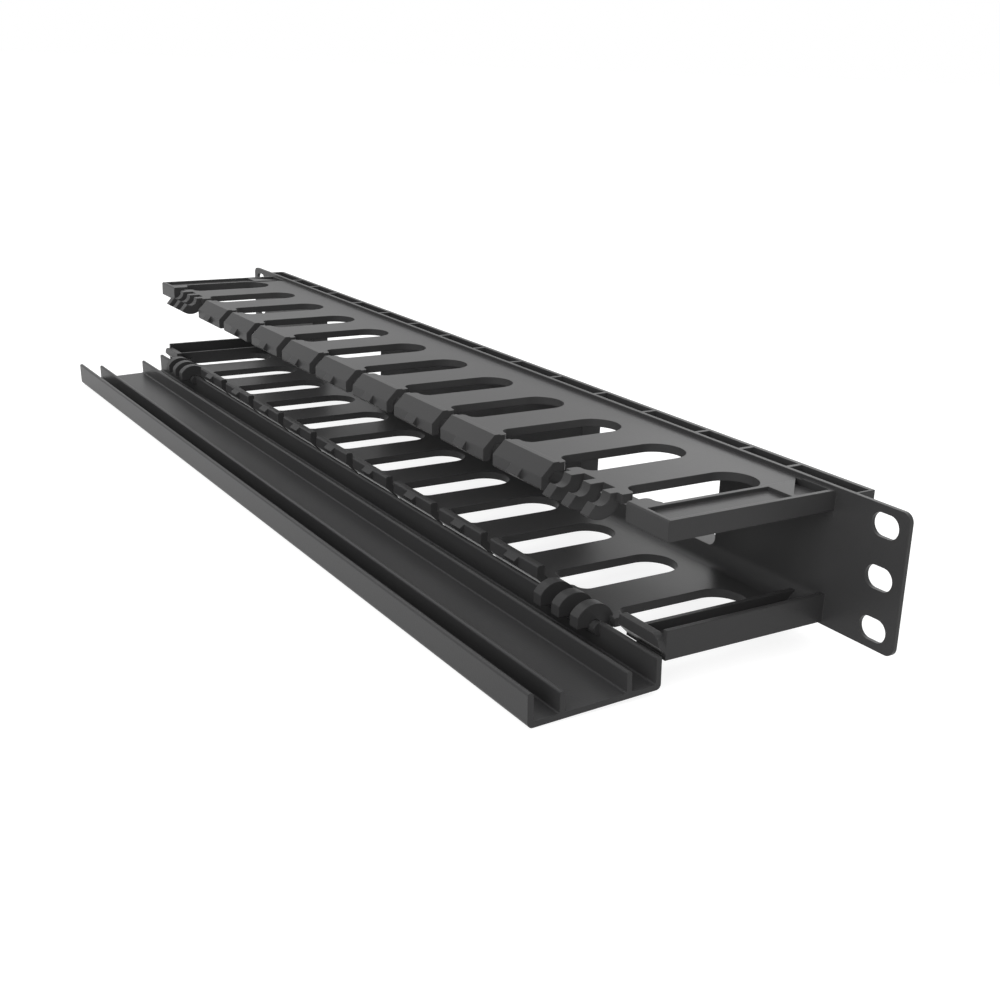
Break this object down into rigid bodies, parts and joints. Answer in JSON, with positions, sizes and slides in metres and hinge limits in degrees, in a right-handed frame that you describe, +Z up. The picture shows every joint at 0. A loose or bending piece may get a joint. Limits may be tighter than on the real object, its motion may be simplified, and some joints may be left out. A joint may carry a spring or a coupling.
{
  "type": "horizontal cable manager",
  "caption": "Rack-width panel with upper and lower rows of slotted fingers forming an open cable duct, rear cable windows and a full-length hinged front cover.",
  "frame": {"origin": "centre of the panel's front face, in the plane of the ears' front faces", "axes": "+X along the 19-inch length, to the right seen from the front, -Y out of the front, +Z up"},
  "size_m": [0.4826, 0.1155, 0.0514],
  "materials": {
    "duct_plastic": "semi-gloss",
    "cover_plastic": "semi-gloss"
  },
  "bodies": {
    "duct": {"duct_body": "duct_plastic"},
    "cover": {"cover": "cover_plastic"}
  },
  "joints": [
    {"name": "cover_hinge", "type": "hinge", "parent": "duct", "child": "cover", "pos_m": [0, -0.065, -0.0201], "axis": [-1, 0, 0], "range_deg": [0, 92]}
  ]
}
